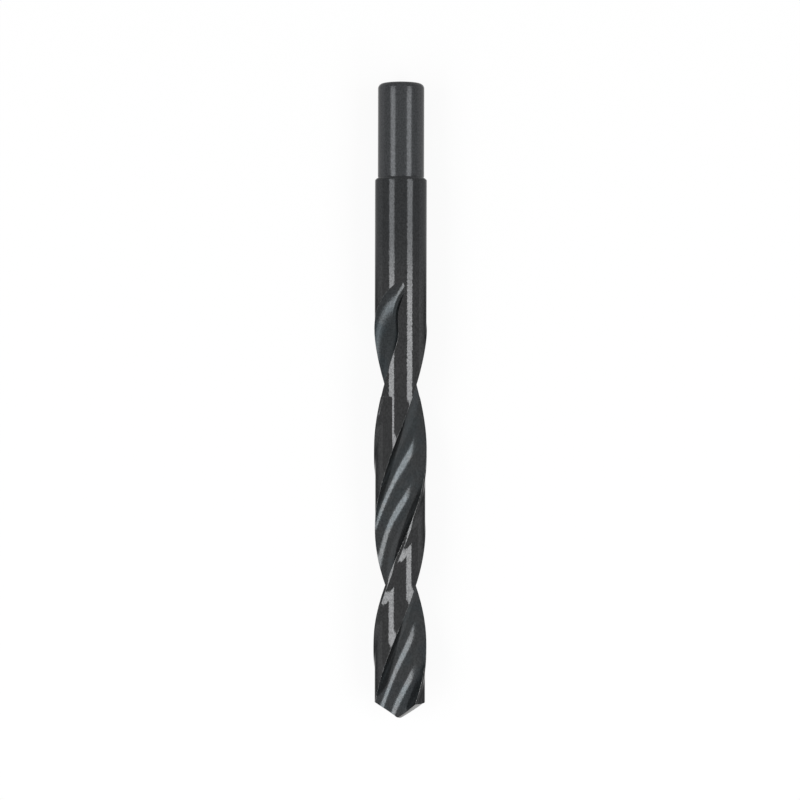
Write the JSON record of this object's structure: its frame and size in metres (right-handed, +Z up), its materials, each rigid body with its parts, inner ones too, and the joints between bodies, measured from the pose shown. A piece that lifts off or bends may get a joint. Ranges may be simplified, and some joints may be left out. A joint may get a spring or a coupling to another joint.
{
  "type": "twist drill bit",
  "caption": "Right-hand twist drill with a turned-down plain shank, a plain neck, helical flutes with narrow margins and a ground point.",
  "frame": {"origin": "centre of the footprint of the drill as it lies on its margins, on the surface it lies on", "axes": "+Y along the drill's axis from the point towards the shank, +Z up from the surface it lies on"},
  "size_m": [0.0114, 0.137, 0.0115],
  "materials": {
    "black_oxide_steel": "satin black oxide on high-speed steel, with the two point flanks ground bright"
  },
  "bodies": {
    "root": {"drill_bit": "black_oxide_steel"}
  },
  "joints": []
}
